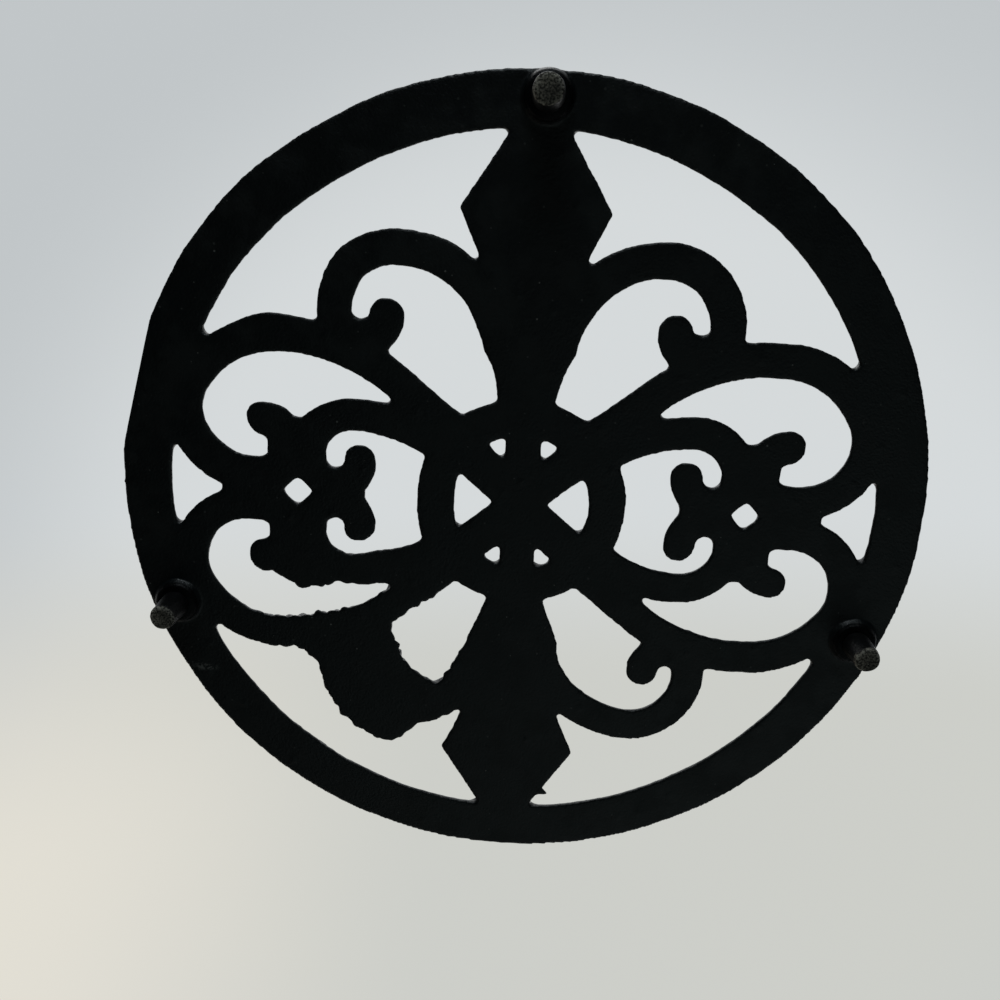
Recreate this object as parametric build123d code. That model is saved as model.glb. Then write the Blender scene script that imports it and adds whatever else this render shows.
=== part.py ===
from build123d import *
from math import cos, radians, sin
import os

# A round openwork trivet: one iron casting on three feet, with a soft cap pushed over each foot peg.
# The scrollwork lies in the XY plane with its spears along Y, and the rim's bevelled edge is up. The
# origin is on the table, under the middle of the rim. Sizes are millimetres and degrees.

# Plate
rim_radius = 100.0
rim_width = 11.8
plate_thickness = 4.5
rim_bevel = 1.5
crotch_radius = 1.0

# The scrollwork is drawn for this opening and scaled with the rim
drawn_opening = 88.2

# Each bar is drawn wider by the crotch radius on either side, and what stays open between the bars grows
# back by it, which rounds the corners of the openings. What stays open by less than this area fills with iron
filled_area = 0.5

# Hub: a ring crossed by an upright bar and four spokes
hub_radius = 26.3
hub_ring_width = 8.8
upright_width = 8.2
spoke_angle = 38.5
spoke_width = 9.5
spoke_offset = 0.9

# Spear: the upright bar beyond the hub, which widens to two shoulders and narrows again at the rim
stem_root_width = 10.8
neck_width = 19.4
neck_height = 54.0
shoulder_width = 34.8
shoulder_height = 70.4
spear_rim_width = 11.8

# Leaf scroll: springs from the stem, turns over at its crest and curls in to an eye
leaf_width = 7.9
leaf_crest_x = 30.8
leaf_crest_y = 60.7
leaf_root_radius = 23.1
leaf_curl_radius = 16.0
leaf_curl_turn = 91.0
leaf_eye_radius = 6.2
leaf_eye_turn = 177.0

# Arm scroll: leaves the hub beside a spoke, arches to the rim and curls in beside the cross axis
arm_width = 8.0
arm_offset = 3.2
arm_root_run = 20.0
arm_straight_run = 23.1
arm_arch_radius = 45.3
arm_crown_radius = 25.7
arm_crown_turn = 57.8
arm_curl_radius = 15.0
arm_heel_run = 3.3
arm_eye_radius = 7.0
arm_eye_turn = 172.0
gusset_angle = 19.5
gusset_width = 19.5
gusset_depth = 9.0

# Side scroll: a small scroll between the arm and the cross axis
side_width = 7.7
side_crest_x = 42.2
side_crest_y = 20.4
side_root_radius = 37.3
side_root_turn = 33.0
side_curl_radius = 11.5
side_eye_radius = 6.5

# Knot: the web on the cross axis where four scrolls meet, pierced by a diamond
knot_x = 56.4
knot_length = 13.6
knot_height = 36.0
web_start_x = 40.2
web_end_x = 75.0
web_height = 4.0
diamond_size = 8.2

# Flood: surplus iron that ran round one leaf scroll, closed its eye and filled the waist behind its arm
flood_start = (20.0, 60.0)
flood_drip = (31.5, 70.0)
flood_shoulder = (46.0, 60.5)
flood_flank = (50.5, 50.0)
flood_heel = (53.0, 45.5)
flood_arm_end = (57.0, 43.0)
flood_arm_middle = (36.0, 33.0)
flood_arm_start = (32.0, 34.0)
flood_eye = (29.0, 44.0)
flood_pool = (22.0, 51.0)
flood_pool_end = (19.0, 51.0)
flood_stem_side = (17.5, 49.0)
flood_stem_foot = (7.0, 30.0)
flood_stem_back = (9.0, 52.0)
waist_flood = [(56.0, 8.0), (46.0, 18.0), (46.0, 24.5), (55.0, 27.0), (65.0, 20.5)]

# Feet: a cast boss and peg under the rim, and the cap that covers the peg
foot_height = 12.0
foot_angles = {"back": 90.7, "left": 199.8, "right": 340.2}
foot_insets = {"back": 5.3, "left": 6.5, "right": 6.5}
boss_base_diameter = 11.2
boss_face_diameter = 9.7
boss_height = 2.5
peg_diameter = 4.4
cap_mouth_diameter = 7.0
cap_end_diameter = 6.2
cap_end_bevel = 0.5
cap_floor = 2.5
cap_fit_clearance = 0.05

# Sizes that follow from the ones above
rim_opening = rim_radius - rim_width
hub_middle = hub_radius - hub_ring_width / 2
spear_tip = drawn_opening + rim_width / 2
boss_face_z = foot_height - boss_height
peg_length = boss_face_z - cap_floor
peg_middle_z = cap_floor + peg_length / 2

STRAIGHT = None


def toward(angle, length):
    """Offset of a given length along a heading in degrees."""
    return Vector(length * cos(radians(angle)), length * sin(radians(angle)))


def widened(face, corners=Kind.INTERSECTION):
    """A face grown by the crotch radius, with sharp corners unless they are given as round."""
    return offset(face, crotch_radius, kind=corners)


def scroll_bar(start, heading, strokes, width):
    """Face of a bar, widened, that follows straight runs and right-hand bends to a round tip.

    Each stroke is (radius, turn) for a bend, or (STRAIGHT, length) for a run."""
    half = width / 2 + crotch_radius
    place = Vector(*start)
    edges = [Line(place + toward(heading + 90, half), place + toward(heading - 90, half))]
    for radius, amount in strokes:
        if radius is STRAIGHT:
            step = toward(heading, amount)
            for side in (90, -90):
                corner = place + toward(heading + side, half)
                edges.append(Line(corner, corner + step))
            place += step
        else:
            centre = place + toward(heading - 90, radius)
            for offset_radius in (radius + half, radius - half):
                edges.append(CenterArc(centre, offset_radius, heading + 90, -amount))
            heading -= amount
            place = centre + toward(heading + 90, radius)
    left = place + toward(heading + 90, half)
    right = place + toward(heading - 90, half)
    edges.append(ThreePointArc(left, place + toward(heading, half), right))
    return make_face(edges)


def leaf_scroll():
    """Upper scroll of a quarter, from the stem to its eye."""
    start = (leaf_crest_x - leaf_root_radius, leaf_crest_y - leaf_root_radius)
    strokes = [
        (leaf_root_radius, 90),
        (leaf_curl_radius, leaf_curl_turn),
        (leaf_eye_radius, leaf_eye_turn),
    ]
    return scroll_bar(start, 90, strokes, leaf_width)


def arm_scroll():
    """Large scroll of a quarter, from the hub along the rim to its eye."""
    start = toward(spoke_angle, arm_root_run) + toward(spoke_angle + 90, arm_offset)
    strokes = [
        (STRAIGHT, arm_straight_run),
        (arm_arch_radius, spoke_angle),
        (arm_crown_radius, arm_crown_turn),
        (arm_curl_radius, 180 - arm_crown_turn),
        (STRAIGHT, arm_heel_run),
        (arm_eye_radius, arm_eye_turn),
    ]
    return scroll_bar(start, spoke_angle, strokes, arm_width)


def side_scroll():
    """Small scroll of a quarter, between the arm and the cross axis."""
    crest = Vector(side_crest_x, side_crest_y)
    start = crest + toward(-90, side_root_radius) + toward(90 + side_root_turn, side_root_radius)
    strokes = [
        (side_root_radius, side_root_turn),
        (side_curl_radius, 90),
        (side_eye_radius, 180),
    ]
    return scroll_bar(start, side_root_turn, strokes, side_width)


def rim_gusset():
    """Iron that fills the narrow corner where an arm runs into the rim."""
    return Rot(0, 0, gusset_angle) * Pos(drawn_opening, 0) * widened(Rectangle(gusset_depth, gusset_width))


def spoke():
    """Spoke of a quarter, from the middle of the hub into its ring."""
    centre = toward(spoke_angle, hub_middle / 2) + toward(spoke_angle + 90, spoke_offset)
    return Pos(*centre) * Rot(0, 0, spoke_angle) * widened(Rectangle(hub_middle, spoke_width))


def half_spear():
    """One side of a spear, from the hub ring to the rim; its stem ends on the leaf's inner edge."""
    leaf_inner_edge = leaf_crest_x - leaf_root_radius + leaf_width / 2
    points = [
        (0, hub_middle),
        (stem_root_width / 2, hub_middle),
        (leaf_inner_edge, leaf_crest_y - leaf_root_radius),
        (neck_width / 2, neck_height),
        (shoulder_width / 2, shoulder_height),
        (spear_rim_width / 2, drawn_opening),
        (0, spear_tip),
    ]
    return widened(make_face(Polyline(*points, close=True)))


def knot():
    """Web on one half of the cross axis, with the patch that joins its four scrolls."""
    web = Pos((web_start_x + web_end_x) / 2, 0) * Rectangle(web_end_x - web_start_x, web_height)
    return widened(web + Pos(knot_x, 0) * Rectangle(knot_length, knot_height))


def diamond():
    """Square hole that stands on its corner in a knot, before it grows back."""
    side = diamond_size / 2**0.5 - 2 * crotch_radius
    return Pos(knot_x, 0) * Rot(0, 0, 45) * Rectangle(side, side)


def flood():
    """Surplus iron of the flooded quarter, drawn in the first quarter."""
    round_leaf = [
        Line(flood_start, flood_drip),
        ThreePointArc(flood_drip, flood_shoulder, flood_flank),
        ThreePointArc(flood_flank, flood_heel, flood_arm_end),
        Polyline(flood_arm_end, flood_arm_middle, flood_arm_start),
        ThreePointArc(flood_arm_start, flood_eye, flood_pool),
        ThreePointArc(flood_pool, flood_pool_end, flood_stem_side),
        Polyline(flood_stem_side, flood_stem_foot, flood_stem_back, flood_start),
    ]
    return widened(make_face(round_leaf), Kind.ARC) + widened(make_face(Polyline(*waist_flood, close=True)))


def scrollwork():
    """Everything inside the rim, widened, as one face; the quarter at +X, -Y is the flooded one."""
    ring = Circle(hub_radius + crotch_radius) - Circle(hub_radius - hub_ring_width - crotch_radius)
    upright = widened(Rectangle(upright_width, 2 * hub_middle))
    quarter = arm_scroll() + leaf_scroll() + side_scroll() + rim_gusset() + spoke() + half_spear()
    half = quarter + mirror(quarter, Plane.YZ)
    bars = ring + upright + half + mirror(half, Plane.XZ) + knot() + mirror(knot(), Plane.YZ)
    return bars + mirror(flood(), Plane.XZ) - diamond() - mirror(diamond(), Plane.YZ)


def cast_openings():
    """Openings between the bars, with their corners rounded as cast, scaled to the rim."""
    gaps = (Circle(drawn_opening - crotch_radius) - scrollwork()).faces()
    grown = [offset(gap, crotch_radius) for gap in gaps if gap.area > filled_area]
    return [scale(opening, rim_opening / drawn_opening) for opening in grown]


def openwork_plate():
    """Rim and scrollwork, with the rim's upper edge bevelled."""
    pierced = Circle(rim_radius) - cast_openings()
    plate = Pos(0, 0, foot_height) * extrude(pierced, plate_thickness)
    upper_edges = plate.edges().group_by(Axis.Z)[-1]
    return chamfer(upper_edges.sort_by(SortBy.LENGTH)[-1], rim_bevel)


def foot_casting():
    """Boss and peg that are cast under the rim, drawn on the Z axis."""
    boss_middle_z = foot_height - boss_height / 2
    boss = Pos(0, 0, boss_middle_z) * Cone(boss_face_diameter / 2, boss_base_diameter / 2, boss_height)
    return boss + Pos(0, 0, peg_middle_z) * Cylinder(peg_diameter / 2, peg_length)


def foot_cap():
    """Soft cap, pushed over a peg until its mouth meets the boss and its floor the peg's end."""
    body = Pos(0, 0, boss_face_z / 2) * Cone(cap_end_diameter / 2, cap_mouth_diameter / 2, boss_face_z)
    body = chamfer(body.edges().group_by(Axis.Z)[0], cap_end_bevel)
    return body - Pos(0, 0, peg_middle_z) * Cylinder(peg_diameter / 2 + cap_fit_clearance, peg_length)


os.makedirs("parts", exist_ok=True)
casting = openwork_plate()
for name, angle in foot_angles.items():
    foot_place = Pos(*toward(angle, rim_radius - foot_insets[name]))
    casting += foot_place * foot_casting()
    export_step(foot_place * foot_cap(), f"parts/foot_cap_{name}.step")
export_step(casting, "parts/openwork_casting.step")
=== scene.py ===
"""Looks of a round openwork iron trivet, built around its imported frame."""

import logging
import math
from dataclasses import dataclass
from enum import Enum

import bmesh
import bpy
import numpy as np
from mathutils import Matrix, Vector


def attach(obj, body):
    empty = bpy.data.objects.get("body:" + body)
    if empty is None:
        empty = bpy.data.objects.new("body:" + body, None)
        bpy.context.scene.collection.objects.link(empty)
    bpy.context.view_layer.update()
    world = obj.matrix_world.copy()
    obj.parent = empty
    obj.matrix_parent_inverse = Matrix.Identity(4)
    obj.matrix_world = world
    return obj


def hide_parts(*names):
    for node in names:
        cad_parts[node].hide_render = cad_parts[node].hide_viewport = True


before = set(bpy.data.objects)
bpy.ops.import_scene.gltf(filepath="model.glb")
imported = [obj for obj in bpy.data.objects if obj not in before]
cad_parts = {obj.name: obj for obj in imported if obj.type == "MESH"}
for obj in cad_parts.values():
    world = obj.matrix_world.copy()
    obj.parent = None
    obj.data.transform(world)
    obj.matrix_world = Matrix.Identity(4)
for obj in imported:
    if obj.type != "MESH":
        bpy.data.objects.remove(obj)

log = logging.getLogger("trivet")
MM = 0.001
BODY = "root"
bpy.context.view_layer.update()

# Points of a solid that lie closer than this are joined
JOIN_WITHIN = 0.001 * MM

# Attribute that is 1 on outer edges
EDGE = "edge"

Pair = tuple[float, float]
Triple = tuple[float, float, float]
Colour = tuple[float, float, float, float]
Plug = bpy.types.NodeSocket
Plugs = bpy.types.bpy_prop_collection


class Slot(Enum):
    """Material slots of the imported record."""

    IRON = "black_iron"
    RUBBER = "cap_rubber"


class Socket(Enum):
    """Kinds of value that a node group takes or gives."""

    NUMBER = "NodeSocketFloat"
    COUNT = "NodeSocketInt"
    VECTOR = "NodeSocketVector"
    GEOMETRY = "NodeSocketGeometry"
    MATERIAL = "NodeSocketMaterial"


class Sheet:
    """A node tree under construction."""

    def __init__(self, tree: bpy.types.NodeTree) -> None:
        """Keep the tree that nodes are added to."""
        self.tree = tree

    @staticmethod
    def pick(sockets: Plugs, key: str | int) -> Plug:
        """Find a socket by its place, or by its name among those in use.

        Args:
            sockets: A node's inputs or outputs.
            key: Name of the socket, or its place in the list.

        Returns:
            The socket.
        """
        if isinstance(key, int):
            return sockets[key]
        return next(s for s in sockets if s.name == key and s.enabled)

    def add(self, kind: str, values: dict | None = None, **settings: object) -> bpy.types.Node:
        """Add a node.

        Args:
            kind: Type of the node.
            values: Input name or place to a value, or to the socket that feeds it.
            settings: Attributes of the node, set before its inputs.

        Returns:
            The node.
        """
        node = self.tree.nodes.new(kind)
        for name, value in settings.items():
            setattr(node, name, value)
        for key, value in (values or {}).items():
            target = self.pick(node.inputs, key)
            if isinstance(value, Plug):
                self.tree.links.new(value, target)
            else:
                target.default_value = value
        return node

    def feed(self, node: bpy.types.Node, sources: dict[str, Plug]) -> None:
        """Link sockets to the inputs of a node.

        Args:
            node: The node.
            sources: Input name to the socket that feeds it.
        """
        for name, source in sources.items():
            self.tree.links.new(source, node.inputs[name])

    def math(self, operation: str, *values: float | Plug) -> Plug:
        """Add a Math node.

        Args:
            operation: Name of the operation.
            values: Its inputs in order.

        Returns:
            The result.
        """
        return self.add("ShaderNodeMath", dict(enumerate(values)), operation=operation).outputs[0]

    def vector(self, operation: str, *values: Triple | Plug, scale: float | Plug | None = None) -> Plug:
        """Add a Vector Math node.

        Args:
            operation: Name of the operation.
            values: Its vector inputs in order.
            scale: The factor of a SCALE operation.

        Returns:
            The result, a number for DOT_PRODUCT and LENGTH.
        """
        inputs: dict = dict(enumerate(values))
        if scale is not None:
            inputs["Scale"] = scale
        node = self.add("ShaderNodeVectorMath", inputs, operation=operation)
        return node.outputs["Value" if operation in ("DOT_PRODUCT", "LENGTH") else "Vector"]

    def distance(self, place: Plug, other: Triple | Plug) -> Plug:
        """Distance between two places."""
        return self.vector("LENGTH", self.vector("SUBTRACT", place, other))

    def height(self, place: Plug) -> Plug:
        """Height of a place."""
        return self.add("ShaderNodeSeparateXYZ", {0: place}).outputs[2]

    def ramp(
        self,
        value: Plug,
        low: float | Plug,
        high: float | Plug,
        to_low: float = 0.0,
        to_high: float = 1.0,
    ) -> Plug:
        """Map a range of values smoothly to another.

        Args:
            value: The value to map.
            low: Where the ramp starts.
            high: Where it ends.
            to_low: Result at the start.
            to_high: Result at the end.

        Returns:
            The mapped value.
        """
        inputs = {"Value": value, "From Min": low, "From Max": high, "To Min": to_low, "To Max": to_high}
        return self.add("ShaderNodeMapRange", inputs, interpolation_type="SMOOTHSTEP").outputs[0]

    def fall(self, value: Plug, low: float, high: float) -> Plug:
        """Map a range of values smoothly from 1 down to 0."""
        return self.ramp(value, low, high, 1.0, 0.0)

    def noise(self, place: Plug, size: float | Plug, detail: float, seed: float | Plug) -> Plugs:
        """Add a seeded noise whose features have a real size.

        Args:
            place: Position that the noise is read at.
            size: Size of its features in metres.
            detail: Number of finer octaves.
            seed: Picks one of the patterns.

        Returns:
            The noise as a number and as a colour.
        """
        scale = self.math("DIVIDE", 1.0, size)
        inputs = {"Vector": place, "W": seed, "Scale": scale, "Detail": detail}
        return self.add("ShaderNodeTexNoise", inputs, noise_dimensions="4D").outputs

    def cells(self, place: Plug, spacing: Plug) -> Plugs:
        """Add a scatter of cells.

        Args:
            place: Position that the cells are read at.
            spacing: Distance between cells in metres.

        Returns:
            The distance from the cell's middle, in spacings, and a colour for each cell.
        """
        inputs = {"Vector": place, "Scale": self.math("DIVIDE", 1.0, spacing)}
        return self.add("ShaderNodeTexVoronoi", inputs, voronoi_dimensions="3D").outputs

    def mix(self, factor: float | Plug, first: Colour | Plug, second: Colour | Plug) -> Plug:
        """Mix two colours.

        Args:
            factor: Share of the second colour.
            first: Colour at 0.
            second: Colour at 1.

        Returns:
            The mixed colour.
        """
        inputs = {"Factor": factor, "A": first, "B": second}
        return self.pick(self.add("ShaderNodeMix", inputs, data_type="RGBA").outputs, "Result")


def new_group(kind: str, name: str, inputs: dict[str, Socket], outputs: dict[str, Socket]) -> Sheet:
    """Start a node group with named sockets.

    Args:
        kind: ShaderNodeTree or GeometryNodeTree.
        name: Name of the group.
        inputs: Input name to its kind.
        outputs: Output name to its kind.

    Returns:
        The sheet of the empty group.
    """
    tree = bpy.data.node_groups.new(name, kind)
    for side, sockets in (("INPUT", inputs), ("OUTPUT", outputs)):
        for label, socket in sockets.items():
            tree.interface.new_socket(name=label, in_out=side, socket_type=socket.value)
    return Sheet(tree)


def new_material(name: str) -> tuple[bpy.types.Material, Sheet, bpy.types.Node]:
    """Start a node material.

    Args:
        name: Name of the material.

    Returns:
        The material, its sheet and its Principled shader.
    """
    material = bpy.data.materials.new(name)
    material.use_nodes = True
    return material, Sheet(material.node_tree), material.node_tree.nodes["Principled BSDF"]


def colour(red: float, green: float, blue: float) -> Colour:
    """Opaque colour from its linear parts."""
    return (red, green, blue, 1.0)


@dataclass(frozen=True)
class CastSkin:
    """Geometry tree that gives a clean solid a cast, uneven surface.

    Its inputs are lengths in metres. Edges above the dome height are rounded over, walls lean back towards
    their top, and what lies below the blend height runs smoothly into the rest. The outline swells, wanders
    slowly and ripples at a finer scale. It is torn round one place and drawn out to a spur at another. Faces
    are wavy, stray grains stand proud, and one stretch of the edge is ground flat where the iron was poured
    in. The attribute edge is 1 on outer edges.
    """

    name: str = "cast_skin"
    dome_rise: float = 2.0 * MM
    lean_from: float = 12.7 * MM
    lean_to: float = 15.6 * MM
    spur_reach: float = 1.6 * MM
    torn_near: float = 22.0 * MM
    torn_far: float = 40.0 * MM
    torn_within: float = 78.0 * MM
    torn_rim: float = 84.0 * MM
    torn_rim_share: float = 0.3
    outline_detail: float = 1.0
    outline_gain: float = 4.0
    wave_detail: float = 2.0
    scallop_stretch: float = 4.0
    scallop_noise: Pair = (0.35, 0.65)
    scallop_reach: Pair = (0.3, 1.7)
    grain_chance: float = 0.72
    grain_width: float = 0.3
    proud_from: float = 0.02 * MM
    proud_to: float = 0.25 * MM

    COUNTS = ("Smoothing", "Doming", "Blending", "Edge Turns")
    SIZES = (
        "Dome Height", "Blend Height", "Lean", "Swell", "Wander", "Wander Size", "Ripple", "Ripple Size",
        "Tear", "Tear Size", "Wave", "Wave Size", "Grain Height", "Grain Spacing", "Flat Angle",
        "Flat Distance", "Seed",
    )
    PLACES = ("Tear Place", "Spur Place", "Spur")
    FLAT = (1.0, 1.0, 0.0)
    NOISE_MIDDLE = 0.5

    def build(self) -> bpy.types.NodeTree:
        """Make the tree.

        Returns:
            The geometry node group.
        """
        inputs = {"Geometry": Socket.GEOMETRY}
        inputs |= {label: Socket.COUNT for label in self.COUNTS}
        inputs |= {label: Socket.NUMBER for label in self.SIZES}
        inputs |= {label: Socket.VECTOR for label in self.PLACES}
        inputs |= {"Finish": Socket.MATERIAL}
        sheet = new_group("GeometryNodeTree", self.name, inputs, {"Geometry": Socket.GEOMETRY})
        given = sheet.add("NodeGroupInput").outputs
        smooth = self.smoothed(sheet, given)
        moved = self.displaced(sheet, smooth, given)
        ground = self.ground(sheet, moved, given)
        marked = self.marked(sheet, ground, given["Edge Turns"])
        soft = sheet.add("GeometryNodeSetShadeSmooth", {"Geometry": marked}).outputs[0]
        real = sheet.add("GeometryNodeRealizeInstances", {"Geometry": soft}).outputs[0]
        finish = {"Geometry": real, "Material": given["Finish"]}
        dressed = sheet.add("GeometryNodeSetMaterial", finish).outputs[0]
        sheet.add("NodeGroupOutput", {"Geometry": dressed})
        return sheet.tree

    @staticmethod
    def blurred(sheet: Sheet, value: Plug, turns: Plug) -> Plug:
        """Average a vector over neighbouring points.

        Args:
            sheet: The tree.
            value: The vector field.
            turns: How often it is averaged.

        Returns:
            The blurred field.
        """
        inputs = {"Value": value, "Iterations": turns}
        return sheet.add("GeometryNodeBlurAttribute", inputs, data_type="FLOAT_VECTOR").outputs[0]

    @staticmethod
    def shifted(sheet: Sheet, geometry: Plug, offset: Plug) -> Plug:
        """Move the points of a solid."""
        return sheet.add("GeometryNodeSetPosition", {"Geometry": geometry, "Offset": offset}).outputs[0]

    def smoothed(self, sheet: Sheet, given: Plugs) -> Plug:
        """Soften all edges a little, and the upper edges and the feet more.

        Args:
            sheet: The tree.
            given: Inputs of the tree.

        Returns:
            The soft solid.
        """
        place = sheet.add("GeometryNodeInputPosition").outputs[0]
        height = sheet.height(place)
        dome_start = sheet.math("SUBTRACT", given["Dome Height"], self.dome_rise)
        dome = sheet.ramp(height, dome_start, given["Dome Height"])
        blend = sheet.math("LESS_THAN", height, given["Blend Height"])
        geometry = given["Geometry"]
        for turns, share in (("Smoothing", 1.0), ("Doming", dome), ("Blending", blend)):
            to_soft = sheet.vector("SUBTRACT", self.blurred(sheet, place, given[turns]), place)
            geometry = self.shifted(sheet, geometry, sheet.vector("SCALE", to_soft, scale=share))
        return geometry

    def displaced(self, sheet: Sheet, geometry: Plug, given: Plugs) -> Plug:
        """Shift points sideways for the outline and along their normals for waves and grains.

        Args:
            sheet: The tree.
            geometry: The smooth solid.
            given: Inputs of the tree.

        Returns:
            The uneven solid.
        """
        place = sheet.add("GeometryNodeInputPosition").outputs[0]
        normal = sheet.add("GeometryNodeInputNormal").outputs[0]
        drawn = sheet.fall(sheet.distance(place, given["Spur Place"]), 0.0, self.spur_reach)
        leaning = sheet.ramp(sheet.height(place), self.lean_from, self.lean_to)
        swell = sheet.math("SUBTRACT", given["Swell"], sheet.math("MULTIPLY", given["Lean"], leaning))
        shifts = [sheet.vector("SCALE", normal, scale=swell)]
        shifts.append(sheet.vector("SCALE", given["Spur"], scale=drawn))
        shifts.append(sheet.vector("SCALE", normal, scale=self.scallops(sheet, place, given)))
        for offset, name in enumerate(("Wander", "Ripple")):
            seed = sheet.math("ADD", given["Seed"], float(offset))
            field = sheet.noise(place, given[name + " Size"], self.outline_detail, seed)["Color"]
            centred = sheet.vector("SUBTRACT", field, (self.NOISE_MIDDLE,) * 3)
            reach = sheet.math("MULTIPLY", given[name], self.outline_gain)
            shifts.append(sheet.vector("SCALE", centred, scale=reach))
        shift = shifts[0]
        for further in shifts[1:]:
            shift = sheet.vector("ADD", shift, further)
        sideways = sheet.vector("MULTIPLY", shift, self.FLAT)
        wave = sheet.noise(place, given["Wave Size"], self.wave_detail, given["Seed"])[0]
        lift = sheet.math("MULTIPLY", sheet.math("SUBTRACT", wave, self.NOISE_MIDDLE), given["Wave"])
        lift = sheet.math("ADD", lift, self.grains(sheet, place, given))
        raised = sheet.vector("SCALE", normal, scale=lift)
        return self.shifted(sheet, geometry, sheet.vector("ADD", sideways, raised))

    def scallops(self, sheet: Sheet, place: Plug, given: Plugs) -> Plug:
        """Shape the torn edge: round bumps with sharp notches between them, of uneven size.

        Args:
            sheet: The tree.
            place: Position of the points.
            given: Inputs of the tree.

        Returns:
            How far each point stands out.
        """
        near = sheet.fall(sheet.distance(place, given["Tear Place"]), self.torn_near, self.torn_far)
        from_axis = sheet.vector("LENGTH", sheet.vector("MULTIPLY", place, self.FLAT))
        within = sheet.ramp(from_axis, self.torn_within, self.torn_rim, 1.0, self.torn_rim_share)
        torn = sheet.math("MULTIPLY", near, within)
        stretch = sheet.math("MULTIPLY", given["Tear Size"], self.scallop_stretch)
        size = sheet.noise(place, stretch, self.outline_detail, given["Seed"])[0]
        uneven = sheet.ramp(size, *self.scallop_noise, *self.scallop_reach)
        from_middle = sheet.cells(place, given["Tear Size"])["Distance"]
        bump = sheet.math("SUBTRACT", self.NOISE_MIDDLE, from_middle)
        reach = sheet.math("MULTIPLY", sheet.math("MULTIPLY", given["Tear"], torn), uneven)
        return sheet.math("MULTIPLY", bump, reach)

    def grains(self, sheet: Sheet, place: Plug, given: Plugs) -> Plug:
        """Raise stray sand grains under the paint, in some cells of a scatter only.

        Args:
            sheet: The tree.
            place: Position of the points.
            given: Inputs of the tree.

        Returns:
            Height of the grains.
        """
        scatter = sheet.cells(place, given["Grain Spacing"])
        pick = sheet.add("ShaderNodeSeparateXYZ", {0: scatter["Color"]}).outputs[0]
        standing = sheet.math("GREATER_THAN", pick, self.grain_chance)
        dome = sheet.fall(scatter["Distance"], 0.0, self.grain_width)
        return sheet.math("MULTIPLY", sheet.math("MULTIPLY", dome, standing), given["Grain Height"])

    def ground(self, sheet: Sheet, geometry: Plug, given: Plugs) -> Plug:
        """Press points beyond the ground flat back to it.

        Args:
            sheet: The tree.
            geometry: The uneven solid.
            given: Inputs of the tree.

        Returns:
            The solid with its flat.
        """
        place = sheet.add("GeometryNodeInputPosition").outputs[0]
        across = sheet.math("COSINE", given["Flat Angle"])
        along = sheet.math("SINE", given["Flat Angle"])
        outward = sheet.add("ShaderNodeCombineXYZ", {0: across, 1: along}).outputs[0]
        reach = sheet.vector("DOT_PRODUCT", place, outward)
        excess = sheet.math("MAXIMUM", sheet.math("SUBTRACT", reach, given["Flat Distance"]), 0.0)
        back = sheet.vector("SCALE", outward, scale=sheet.math("MULTIPLY", excess, -1.0))
        return self.shifted(sheet, geometry, back)

    def marked(self, sheet: Sheet, geometry: Plug, turns: Plug) -> Plug:
        """Store how far each point stands out from its neighbours.

        Args:
            sheet: The tree.
            geometry: The finished solid.
            turns: How wide its neighbourhood is.

        Returns:
            The solid with the attribute edge.
        """
        place = sheet.add("GeometryNodeInputPosition").outputs[0]
        normal = sheet.add("GeometryNodeInputNormal").outputs[0]
        from_mean = sheet.vector("SUBTRACT", place, self.blurred(sheet, place, turns))
        proud = sheet.ramp(sheet.vector("DOT_PRODUCT", from_mean, normal), self.proud_from, self.proud_to)
        inputs = {"Geometry": geometry, "Name": EDGE, "Value": proud}
        node = sheet.add("GeometryNodeStoreNamedAttribute", inputs, data_type="FLOAT", domain="POINT")
        return node.outputs[0]


@dataclass(frozen=True)
class GrainGroup:
    """Shader group: fine sand grain under a finish, as a height and a mask."""

    name: str = "sand_grain"
    detail: float = 3.0
    patch_stretch: float = 14.0
    patch_noise: Pair = (0.42, 0.66)

    def build(self) -> bpy.types.NodeTree:
        """Make the group.

        Returns:
            The shader node group.
        """
        inputs = {"Grain Size": Socket.NUMBER, "Seed": Socket.NUMBER}
        outputs = {"Height": Socket.NUMBER, "Patches": Socket.NUMBER}
        sheet = new_group("ShaderNodeTree", self.name, inputs, outputs)
        given = sheet.add("NodeGroupInput").outputs
        place = sheet.add("ShaderNodeTexCoord").outputs["Object"]
        fine = sheet.noise(place, given["Grain Size"], self.detail, given["Seed"])[0]
        broad_size = sheet.math("MULTIPLY", given["Grain Size"], self.patch_stretch)
        broad = sheet.noise(place, broad_size, self.detail, given["Seed"])[0]
        sheet.add("NodeGroupOutput", {"Height": fine, "Patches": sheet.ramp(broad, *self.patch_noise)})
        return sheet.tree


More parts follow.
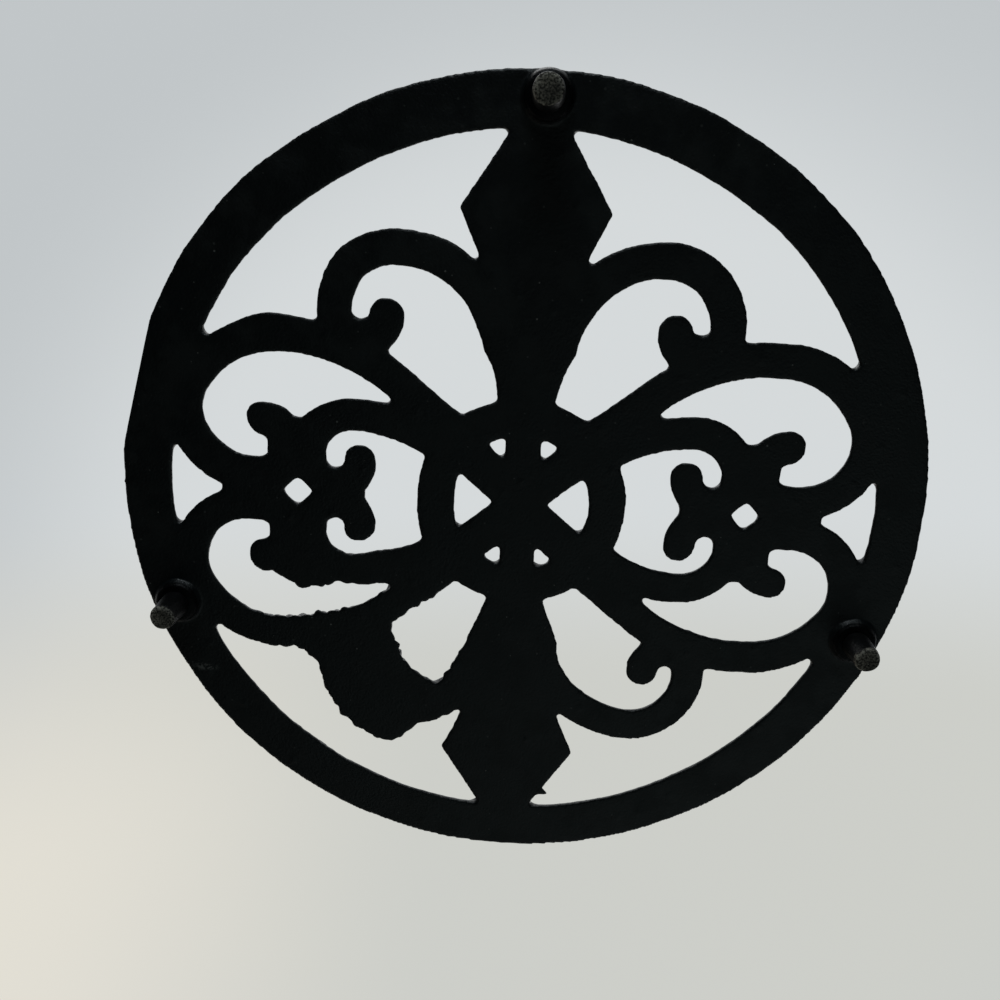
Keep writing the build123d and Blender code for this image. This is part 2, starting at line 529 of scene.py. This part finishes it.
@dataclass(frozen=True)
class SpeckGroup:
    """Shader group: scattered pale specks, as a mask: dust and chipped paint, and on the black paint also
    painted glints.

    Sizes are shares of the spacing; each speck has the least value and a part of the spread.
    """

    name: str = "specks"
    least_size: float = 0.06
    size_spread: float = 0.12
    least_strength: float = 0.2
    strength_spread: float = 0.8

    def build(self) -> bpy.types.NodeTree:
        """Make the group.

        Returns:
            The shader node group.
        """
        inputs = {"Spacing": Socket.NUMBER, "Share": Socket.NUMBER}
        sheet = new_group("ShaderNodeTree", self.name, inputs, {"Mask": Socket.NUMBER})
        given = sheet.add("NodeGroupInput").outputs
        place = sheet.add("ShaderNodeTexCoord").outputs["Object"]
        cells = sheet.cells(place, given["Spacing"])
        chance = sheet.add("ShaderNodeSeparateXYZ", {0: cells["Color"]}).outputs
        present = sheet.math("LESS_THAN", chance[0], given["Share"])
        size = sheet.math("MULTIPLY_ADD", chance[1], self.size_spread, self.least_size)
        dot = sheet.math("LESS_THAN", cells["Distance"], size)
        strength = sheet.math("MULTIPLY_ADD", chance[2], self.strength_spread, self.least_strength)
        mask = sheet.math("MULTIPLY", sheet.math("MULTIPLY", present, dot), strength)
        sheet.add("NodeGroupOutput", {"Mask": mask})
        return sheet.tree


@dataclass(frozen=True)
class Groups:
    """Shader groups that the finishes share."""

    grain: bpy.types.NodeTree
    specks: bpy.types.NodeTree


@dataclass(frozen=True)
class Finish:
    """What the finishes have in common: grain under them and specks on them; lengths in metres."""

    name: str
    grain_size: float
    grain_depth: float
    grain_seed: float
    speck_spacing: float
    speck_share: float

    def grain(self, sheet: Sheet, groups: Groups) -> Plugs:
        """Place the grain.

        Args:
            sheet: The material's tree.
            groups: The shared shader groups.

        Returns:
            Height and patches of the grain.
        """
        values = {"Grain Size": self.grain_size, "Seed": self.grain_seed}
        return sheet.add("ShaderNodeGroup", values, node_tree=groups.grain).outputs

    def specks(self, sheet: Sheet, groups: Groups) -> Plug:
        """Place the specks.

        Args:
            sheet: The material's tree.
            groups: The shared shader groups.

        Returns:
            Mask of the specks.
        """
        values = {"Spacing": self.speck_spacing, "Share": self.speck_share}
        return sheet.add("ShaderNodeGroup", values, node_tree=groups.specks).outputs["Mask"]

    def bump(self, sheet: Sheet, grain: Plugs) -> Plug:
        """Normal of the grained surface."""
        values = {"Height": grain["Height"], "Distance": self.grain_depth}
        return sheet.add("ShaderNodeBump", values).outputs[0]


@dataclass(frozen=True)
class BlackPaint(Finish):
    """Satin black paint over sand-cast iron, greyer where edges are rubbed, and flecked with pale specks
    that are partly dust and partly painted glints.

    Its colour is darker and its shine duller on the foot boss faces, below the boss face height, and it is
    scuffed in one place.
    """

    name: str = "black_paint"
    grain_size: float = 0.55 * MM
    grain_depth: float = 0.16 * MM
    grain_seed: float = 3.0
    speck_spacing: float = 1.7 * MM
    speck_share: float = 0.13
    body: Colour = colour(0.0008, 0.0024, 0.0028)
    faded: Colour = colour(0.0034, 0.0054, 0.0052)
    pooled: Colour = colour(0.0008, 0.0012, 0.0014)
    rubbed: Colour = colour(0.030, 0.030, 0.029)
    dust: Colour = colour(0.11, 0.108, 0.10)
    rub_grain: Pair = (0.4, 0.62)
    rub_share: float = 0.4
    pool_height: float = 10.4 * MM
    pool_fade: float = 0.6 * MM
    scuff_place: Triple = (82.0 * MM, -50.6 * MM, 12.0 * MM)
    scuff_squeeze: Triple = (0.3, 1.0, 1.0)
    scuff_core: float = 0.3 * MM
    scuff_reach: float = 1.5 * MM
    scuff_grain: Pair = (0.45, 0.6)
    roughness: float = 0.42
    patch_roughness: float = 0.14
    pool_shine: float = 0.1
    shine: float = 0.35

    def build(self, groups: Groups) -> bpy.types.Material:
        """Make the material.

        Args:
            groups: The shared shader groups.

        Returns:
            The material.
        """
        material, sheet, shader = new_material(self.name)
        grain = self.grain(sheet, groups)
        edge = sheet.add("ShaderNodeAttribute", attribute_name=EDGE).outputs["Fac"]
        rub = sheet.math("MULTIPLY", edge, sheet.ramp(grain["Height"], *self.rub_grain))
        paint = sheet.mix(grain["Patches"], self.body, self.faded)
        paint = sheet.mix(sheet.math("MULTIPLY", rub, self.rub_share), paint, self.rubbed)
        # Pale specks: partly dust and chipped paint, partly painted glints
        paint = sheet.mix(self.specks(sheet, groups), paint, self.dust)
        place = sheet.add("ShaderNodeTexCoord").outputs["Object"]
        height = sheet.height(place)
        boss_face_end = self.pool_height + self.pool_fade
        # Colour made darker on the foot boss faces, below the boss face height
        paint = sheet.mix(sheet.fall(height, self.pool_height, boss_face_end), paint, self.pooled)
        paint = sheet.mix(self.scuff(sheet, place, grain), paint, self.dust)
        rough = sheet.math("MULTIPLY_ADD", grain["Patches"], self.patch_roughness, self.roughness)
        shine = sheet.ramp(height, self.pool_height, boss_face_end, self.pool_shine, self.shine)
        bump = self.bump(sheet, grain)
        looks = {"Base Color": paint, "Roughness": rough, "Specular IOR Level": shine, "Normal": bump}
        sheet.feed(shader, looks)
        return material

    def scuff(self, sheet: Sheet, place: Plug, grain: Plugs) -> Plug:
        """Mark the scuff, which is longer than it is wide and broken up by the grain.

        Args:
            sheet: The material's tree.
            place: Position on the piece.
            grain: Height and patches of the grain.

        Returns:
            Mask of the scuff.
        """
        from_scuff = sheet.vector("SUBTRACT", place, self.scuff_place)
        squeezed = sheet.vector("LENGTH", sheet.vector("MULTIPLY", from_scuff, self.scuff_squeeze))
        scuff = sheet.fall(squeezed, self.scuff_core, self.scuff_reach)
        return sheet.math("MULTIPLY", scuff, sheet.ramp(grain["Height"], *self.scuff_grain))


@dataclass(frozen=True)
class CapRubber(Finish):
    """Black rubber, glossy with handling on its sides and scuffed to a dusty brown-grey on its end."""

    name: str = "cap_rubber"
    grain_size: float = 0.5 * MM
    grain_depth: float = 0.12 * MM
    grain_seed: float = 8.0
    speck_spacing: float = 1.1 * MM
    speck_share: float = 0.3
    body: Colour = colour(0.0014, 0.0016, 0.0018)
    worn: Colour = colour(0.24, 0.216, 0.175)
    pale: Colour = colour(0.50, 0.48, 0.41)
    end_height: float = 0.7 * MM
    end_unevenness: float = 0.9 * MM
    end_fade: Pair = (0.55, 1.3)
    mottle_grain: Pair = (0.38, 0.64)
    least_mottle: float = 0.15
    least_patch: float = 0.4
    patch_spread: float = 0.6
    ring_grain: Pair = (0.4, 0.6)
    pale_share: float = 0.7
    roughness: float = 0.5
    worn_roughness: float = 0.35
    shine: float = 0.16

    def build(self, groups: Groups) -> bpy.types.Material:
        """Make the material.

        Args:
            groups: The shared shader groups.

        Returns:
            The material.
        """
        material, sheet, shader = new_material(self.name)
        grain = self.grain(sheet, groups)
        height = sheet.height(sheet.add("ShaderNodeTexCoord").outputs["Object"])
        ragged = sheet.math("MULTIPLY_ADD", grain["Patches"], self.end_unevenness, self.end_height)
        scuff = sheet.fall(sheet.math("DIVIDE", height, ragged), *self.end_fade)
        mottle = sheet.ramp(grain["Height"], *self.mottle_grain, self.least_mottle, 1.0)
        patches = sheet.math("MULTIPLY_ADD", grain["Patches"], self.patch_spread, self.least_patch)
        mottle = sheet.math("MULTIPLY", scuff, sheet.math("MULTIPLY", patches, mottle))
        rubber = sheet.mix(mottle, self.body, self.worn)
        edge = sheet.add("ShaderNodeAttribute", attribute_name=EDGE).outputs["Fac"]
        ring = sheet.math("MULTIPLY", edge, sheet.ramp(grain["Height"], *self.ring_grain))
        pale = sheet.math("MULTIPLY", scuff, sheet.math("MAXIMUM", self.specks(sheet, groups), ring))
        rubber = sheet.mix(sheet.math("MULTIPLY", pale, self.pale_share), rubber, self.pale)
        rough = sheet.math("MULTIPLY_ADD", scuff, self.worn_roughness, self.roughness)
        looks = {"Base Color": rubber, "Roughness": rough, "Normal": self.bump(sheet, grain)}
        sheet.feed(shader, looks)
        shader.inputs["Specular IOR Level"].default_value = self.shine
        return material


@dataclass(frozen=True)
class Drift:
    """A spot where the hand-cut pattern stands off its mirrored place, in metres.

    The shift is full at the place and fades to nothing at the reach.
    """

    place: Pair
    shift: Pair
    reach: float

    @classmethod
    def in_mm(cls, place: Pair, shift: Pair, reach: float) -> "Drift":
        """Make a drift whose lengths are given in millimetres."""
        return cls((place[0] * MM, place[1] * MM), (shift[0] * MM, shift[1] * MM), reach * MM)

    def shifts(self, points: np.ndarray) -> np.ndarray:
        """Find how far every point moves.

        Args:
            points: Places of the points as seen from above.

        Returns:
            One shift for each point.
        """
        distance = np.linalg.norm(points - np.array(self.place), axis=1)
        near = np.clip(1.0 - distance / self.reach, 0.0, 1.0)
        share = near * near * (3.0 - 2.0 * near)
        return share[:, None] * np.array(self.shift)


@dataclass
class SkinnedPiece:
    """A piece that stands for a CAD node and takes its shape through the cast skin.

    Lengths are in metres and angles in radians; voxel is the size of its faces, of which a share is kept.
    The fields from smoothing to spur are inputs of the skin.
    """

    node: str
    slot: Slot
    voxel: float
    smoothing: int
    doming: int
    blending: int
    edge_turns: int
    dome_height: float
    blend_height: float
    lean: float
    swell: float
    wander: float
    wander_size: float
    ripple: float
    ripple_size: float
    tear: float
    tear_size: float
    wave: float
    wave_size: float
    grain_height: float
    grain_spacing: float
    seed: float
    flat_angle: float = 0.0
    flat_distance: float = 1.0
    tear_place: Triple = (0.0, 0.0, 0.0)
    spur_place: Triple = (0.0, 0.0, 1.0)
    spur: Triple = (0.0, 0.0, 0.0)
    kept: float = 1.0
    drifts: tuple[Drift, ...] = ()

    def build(self, skin: bpy.types.NodeTree, finish: bpy.types.Material) -> bpy.types.Object:
        """Copy the node's mesh, give it the skin and put it in the node's place.

        Args:
            skin: The cast skin tree.
            finish: Material of the piece.

        Returns:
            The finished piece.
        """
        piece = bpy.data.objects.new(self.node + "_skin", self.merged_mesh())
        bpy.context.scene.collection.objects.link(piece)
        remesh = piece.modifiers.new("faces", "REMESH")
        remesh.mode = "VOXEL"
        remesh.voxel_size = self.voxel
        modifier = piece.modifiers.new("skin", "NODES")
        modifier.node_group = skin
        self.set_inputs(modifier, finish)
        piece.modifiers.new("thin", "DECIMATE").ratio = self.kept
        graph = bpy.context.evaluated_depsgraph_get()
        mesh = bpy.data.meshes.new_from_object(piece.evaluated_get(graph), depsgraph=graph)
        piece.modifiers.clear()
        self.let_drift(mesh)
        piece.data = mesh
        mesh.name = piece.name
        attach(piece, BODY)
        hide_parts(self.node)
        log.info("%s: %d faces", piece.name, len(mesh.polygons))
        return piece

    def merged_mesh(self) -> bpy.types.Mesh:
        """Copy the node's mesh and join its loose triangles.

        Returns:
            The joined copy.
        """
        solid = bmesh.new()
        solid.from_mesh(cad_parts[self.node].data)
        bmesh.ops.remove_doubles(solid, verts=solid.verts, dist=JOIN_WITHIN)
        mesh = bpy.data.meshes.new(self.node + "_solid")
        solid.to_mesh(mesh)
        solid.free()
        return mesh

    def set_inputs(self, modifier: bpy.types.NodesModifier, finish: bpy.types.Material) -> None:
        """Give the skin the fields that its inputs are named for.

        Args:
            modifier: The piece's modifier.
            finish: Material of the piece.
        """
        values = vars(self) | {"finish": finish}
        for item in modifier.node_group.interface.items_tree:
            field = item.name.lower().replace(" ", "_")
            if item.in_out == "INPUT" and field in values:
                modifier[item.identifier] = values[field]

    def let_drift(self, mesh: bpy.types.Mesh) -> None:
        """Move parts of the pattern off their mirrored places.

        Args:
            mesh: The piece's finished mesh.
        """
        places = np.empty(len(mesh.vertices) * 3, dtype=np.float32)
        mesh.vertices.foreach_get("co", places)
        points = places.reshape(-1, 3)
        still = points[:, :2].copy()
        for spot in self.drifts:
            points[:, :2] += spot.shifts(still)
        mesh.vertices.foreach_set("co", places)
        mesh.update()


@dataclass
class Casting(SkinnedPiece):
    """Rim, scrollwork, foot bosses and pegs: one rough casting."""

    node: str = "openwork_casting"
    slot: Slot = Slot.IRON
    voxel: float = 0.4 * MM
    kept: float = 0.255
    smoothing: int = 2
    doming: int = 110
    blending: int = 6
    edge_turns: int = 4
    dome_height: float = 13.9 * MM
    blend_height: float = 11.5 * MM
    lean: float = 1.2 * MM
    swell: float = 0.38 * MM
    wander: float = 0.15 * MM
    wander_size: float = 12.0 * MM
    ripple: float = 0.09 * MM
    ripple_size: float = 1.9 * MM
    tear: float = 1.3 * MM
    tear_size: float = 2.6 * MM
    wave: float = 0.25 * MM
    wave_size: float = 9.0 * MM
    grain_height: float = 0.16 * MM
    grain_spacing: float = 4.5 * MM
    seed: float = 11.0
    flat_angle: float = math.radians(15.0)
    flat_distance: float = 98.8 * MM
    tear_place: Triple = (42.0 * MM, -48.0 * MM, 13.0 * MM)
    spur_place: Triple = (-9.6 * MM, -82.6 * MM, 12.4 * MM)
    spur: Triple = (-2.2 * MM, -0.7 * MM, 0.0)
    drifts: tuple[Drift, ...] = (
        # Flanks of the back spear
        Drift.in_mm((9.5, 34.0), (-1.9, 0.0), 12.0),
        Drift.in_mm((-10.0, 33.0), (1.0, 0.0), 10.0),
        # Back leaf scroll at +X: its arch, its eye and the end of the slot round the eye
        Drift.in_mm((41.0, 57.0), (0.6, 0.6), 16.0),
        Drift.in_mm((34.0, 44.5), (-0.8, 0.7), 8.0),
        Drift.in_mm((41.0, 43.0), (0.0, 1.2), 5.0),
        # Back arm at +X, and the side scroll in front of it
        Drift.in_mm((63.0, 46.0), (0.0, 1.0), 13.0),
        Drift.in_mm((57.5, 20.5), (0.0, 1.1), 9.0),
        Drift.in_mm((74.5, 13.0), (-1.0, 0.7), 12.0),
        # Front arm at +X
        Drift.in_mm((53.0, -31.0), (0.0, 1.2), 14.0),
        # Eyes of the side scroll at +X, the arm in front of them, the hub ring and the scroll's front curl
        Drift.in_mm((44.0, 0.5), (-0.9, 0.0), 20.0),
        Drift.in_mm((36.0, -15.0), (0.0, 0.9), 12.0),
        Drift.in_mm((21.5, 0.5), (-1.0, 0.0), 13.0),
        Drift.in_mm((68.0, -15.5), (0.0, 0.8), 12.0),
        # Back leaf scroll at -X: its arch, its root and the end of the slot round its eye
        Drift.in_mm((-31.5, 60.0), (-0.3, 0.0), 20.0),
        Drift.in_mm((-16.0, 50.0), (-0.7, 0.0), 10.0),
        Drift.in_mm((-40.5, 43.0), (0.0, 1.5), 5.0),
        # Rim at the back, on both sides
        Drift.in_mm((-62.0, 61.5), (-0.25, 0.2), 36.0),
        Drift.in_mm((68.0, 66.0), (0.3, 0.3), 30.0),
        # Front arm, front leaf scroll and the side scroll's eyes at -X
        Drift.in_mm((-60.0, -27.0), (0.0, 1.1), 28.0),
        Drift.in_mm((-22.0, -56.0), (-0.8, 1.0), 20.0),
        Drift.in_mm((-40.5, 0.0), (0.0, 0.7), 18.0),
    )


@dataclass
class FootCap(SkinnedPiece):
    """Soft cap over one foot peg."""

    slot: Slot = Slot.RUBBER
    voxel: float = 0.22 * MM
    smoothing: int = 1
    doming: int = 0
    blending: int = 10
    edge_turns: int = 16
    dome_height: float = 1.0
    blend_height: float = 1.0 * MM
    lean: float = 0.0
    swell: float = 0.04 * MM
    wander: float = 0.08 * MM
    wander_size: float = 3.0 * MM
    ripple: float = 0.03 * MM
    ripple_size: float = 1.0 * MM
    tear: float = 0.0
    tear_size: float = 1.0 * MM
    wave: float = 0.12 * MM
    wave_size: float = 1.2 * MM
    grain_height: float = 0.05 * MM
    grain_spacing: float = 1.2 * MM
    seed: float = 5.0


@dataclass(frozen=True)
class Lamp:
    """A soft square lamp aimed at the middle of the part; lengths in metres, power in watts."""

    name: str
    place: Triple
    size: float
    power: float
    tint: Triple = (1.0, 1.0, 1.0)

    def build(self) -> None:
        """Hang the lamp in its place."""
        light = bpy.data.lights.new(self.name, "AREA")
        light.size = self.size
        light.energy = self.power
        light.color = self.tint
        lamp = bpy.data.objects.new(self.name, light)
        lamp.location = self.place
        lamp.rotation_mode = "QUATERNION"
        lamp.rotation_quaternion = (-Vector(self.place)).to_track_quat("-Z", "Y")
        bpy.context.scene.collection.objects.link(lamp)


@dataclass(frozen=True)
class Backdrop:
    """Pale world behind the part, seen along the view's own directions.

    Ranges are parts of a unit direction: to the side, up and ahead as the camera looks.
    """

    high: Colour = colour(0.535, 0.565, 0.58)
    middle: Colour = colour(0.67, 0.70, 0.71)
    low: Colour = colour(0.61, 0.62, 0.585)
    warm: Colour = colour(0.76, 0.735, 0.66)
    dark: Colour = colour(0.005, 0.006, 0.006)
    glow: Colour = colour(0.50, 0.61, 0.60)
    glow_way: Triple = (-0.28, -0.55, -0.79)
    glow_range: Pair = (0.78, 0.99)
    glow_share: float = 0.42
    low_range: Pair = (-0.2, 0.0)
    bright_side: float = 0.08
    bright_height: float = -0.12
    bright_range: Pair = (0.4, 0.66)
    warm_side: Pair = (-0.45, -0.05)
    warm_height: Pair = (-0.35, 0.0)
    behind_range: Pair = (-0.1, 0.35)

    def build(self, view_up: Triple, view_ahead: Triple) -> None:
        """Make the world: a backdrop for the eye, and for the light pale behind and dark before the part.

        Args:
            view_up: Upward direction of the view.
            view_ahead: Direction that the view looks in.
        """
        world = bpy.data.worlds.new("studio")
        bpy.context.scene.world = world
        world.use_nodes = True
        sheet = Sheet(world.node_tree)
        facing = sheet.add("ShaderNodeTexCoord").outputs["Generated"]
        view_side = tuple(Vector(view_ahead).cross(Vector(view_up)))
        side = sheet.vector("DOT_PRODUCT", facing, view_side)
        height = sheet.vector("DOT_PRODUCT", facing, view_up)
        depth = sheet.vector("DOT_PRODUCT", facing, view_ahead)
        backdrop = self.gradient(sheet, side, height)
        lit = sheet.mix(sheet.ramp(depth, *self.behind_range), self.dark, backdrop)
        toward_glow = sheet.vector("DOT_PRODUCT", facing, self.glow_way)
        lit = sheet.mix(sheet.ramp(toward_glow, *self.glow_range, 0.0, self.glow_share), lit, self.glow)
        seen = sheet.add("ShaderNodeLightPath").outputs["Is Camera Ray"]
        sheet.feed(world.node_tree.nodes["Background"], {"Color": sheet.mix(seen, lit, backdrop)})

    def gradient(self, sheet: Sheet, side: Plug, height: Plug) -> Plug:
        """Shade the backdrop: brightest near its middle, warm at one low side.

        Args:
            sheet: The world's tree.
            side: How far to the side a direction points.
            height: How far up it points.

        Returns:
            The colour of the backdrop.
        """
        across = sheet.math("SUBTRACT", side, self.bright_side)
        above = sheet.math("SUBTRACT", height, self.bright_height)
        away = sheet.add("ShaderNodeCombineXYZ", {0: across, 1: above}).outputs[0]
        from_bright = sheet.vector("LENGTH", away)
        backdrop = sheet.mix(sheet.ramp(height, *self.low_range), self.low, self.middle)
        backdrop = sheet.mix(sheet.ramp(from_bright, *self.bright_range), backdrop, self.high)
        warm_side = sheet.fall(side, *self.warm_side)
        warm = sheet.math("MULTIPLY", warm_side, sheet.fall(height, *self.warm_height))
        return sheet.mix(warm, backdrop, self.warm)


@dataclass(frozen=True)
class Studio:
    """Floor, world, lamps and camera round the part."""

    floor_size: float = 6.0
    floor_colour: Colour = colour(0.74, 0.73, 0.70)
    floor_roughness: float = 0.9
    lamps: tuple[Lamp, ...] = (
        Lamp("top_lamp", (0.25, 0.45, 0.70), 0.7, 3.2),
        Lamp("front_lamp", (-0.35, -0.55, 0.60), 0.6, 2.2),
        Lamp("high_lamp", (0.05, 0.75, -0.17), 0.3, 2.0, (0.84, 0.95, 1.0)),
    )
    view_up: Triple = (0.0572, 0.9561, 0.2875)
    view_ahead: Triple = (0.0215, -0.2891, 0.9571)
    eye: Triple = (0.0, 68.0 * MM, -210.5 * MM)
    lens: float = 33.39
    lens_frame: float = 36.0
    nearest: float = 10.0 * MM

    def build(self) -> None:
        """Make the floor, world, lamps and camera."""
        self.floor()
        Backdrop().build(self.view_up, self.view_ahead)
        for lamp in self.lamps:
            lamp.build()
        self.camera()
        bpy.context.scene.view_settings.view_transform = "Standard"

    def floor(self) -> None:
        """Lay a pale floor that the eye sees from above only."""
        half = self.floor_size / 2
        corners = [(-half, -half, 0.0), (half, -half, 0.0), (half, half, 0.0), (-half, half, 0.0)]
        mesh = bpy.data.meshes.new("floor")
        mesh.from_pydata(corners, [], [(0, 1, 2, 3)])
        floor = bpy.data.objects.new("floor", mesh)
        bpy.context.scene.collection.objects.link(floor)
        material, sheet, shader = new_material("floor")
        shader.inputs["Base Color"].default_value = self.floor_colour
        shader.inputs["Roughness"].default_value = self.floor_roughness
        seen = sheet.add("ShaderNodeLightPath").outputs["Is Camera Ray"]
        below = sheet.add("ShaderNodeNewGeometry").outputs["Backfacing"]
        shown = sheet.math("MULTIPLY", seen, sheet.math("SUBTRACT", 1.0, below))
        clear = sheet.add("ShaderNodeBsdfTransparent").outputs[0]
        surface = sheet.add("ShaderNodeMixShader", {0: shown, 1: clear, 2: shader.outputs[0]}).outputs[0]
        sheet.feed(sheet.tree.nodes["Material Output"], {"Surface": surface})
        mesh.materials.append(material)

    def camera(self) -> None:
        """Place the camera under the part, with the back foot at the top of the picture."""
        data = bpy.data.cameras.new("camera")
        data.lens = self.lens
        data.sensor_width = self.lens_frame
        data.clip_start = self.nearest
        camera = bpy.data.objects.new("camera", data)
        back = -Vector(self.view_ahead).normalized()
        right = Vector(self.view_up).cross(back).normalized()
        up = back.cross(right)
        turn = Matrix((right, up, back)).transposed().to_4x4()
        camera.matrix_world = Matrix.Translation(self.eye) @ turn
        bpy.context.scene.collection.objects.link(camera)
        bpy.context.scene.camera = camera


def main() -> None:
    """Build the finishes, the pieces and the studio."""
    logging.basicConfig(level=logging.INFO, format="%(name)s: %(message)s")
    groups = Groups(grain=GrainGroup().build(), specks=SpeckGroup().build())
    skin = CastSkin().build()
    Casting().build(skin, BlackPaint().build(groups))
    rubber = CapRubber().build(groups)
    back = FootCap(node="foot_cap_back", swell=0.3 * MM)
    left = FootCap(node="foot_cap_left", seed=17.0)
    right = FootCap(node="foot_cap_right", seed=29.0)
    for cap in (back, left, right):
        cap.build(skin, rubber)
    Studio().build()


if __name__ == "__main__":
    main()
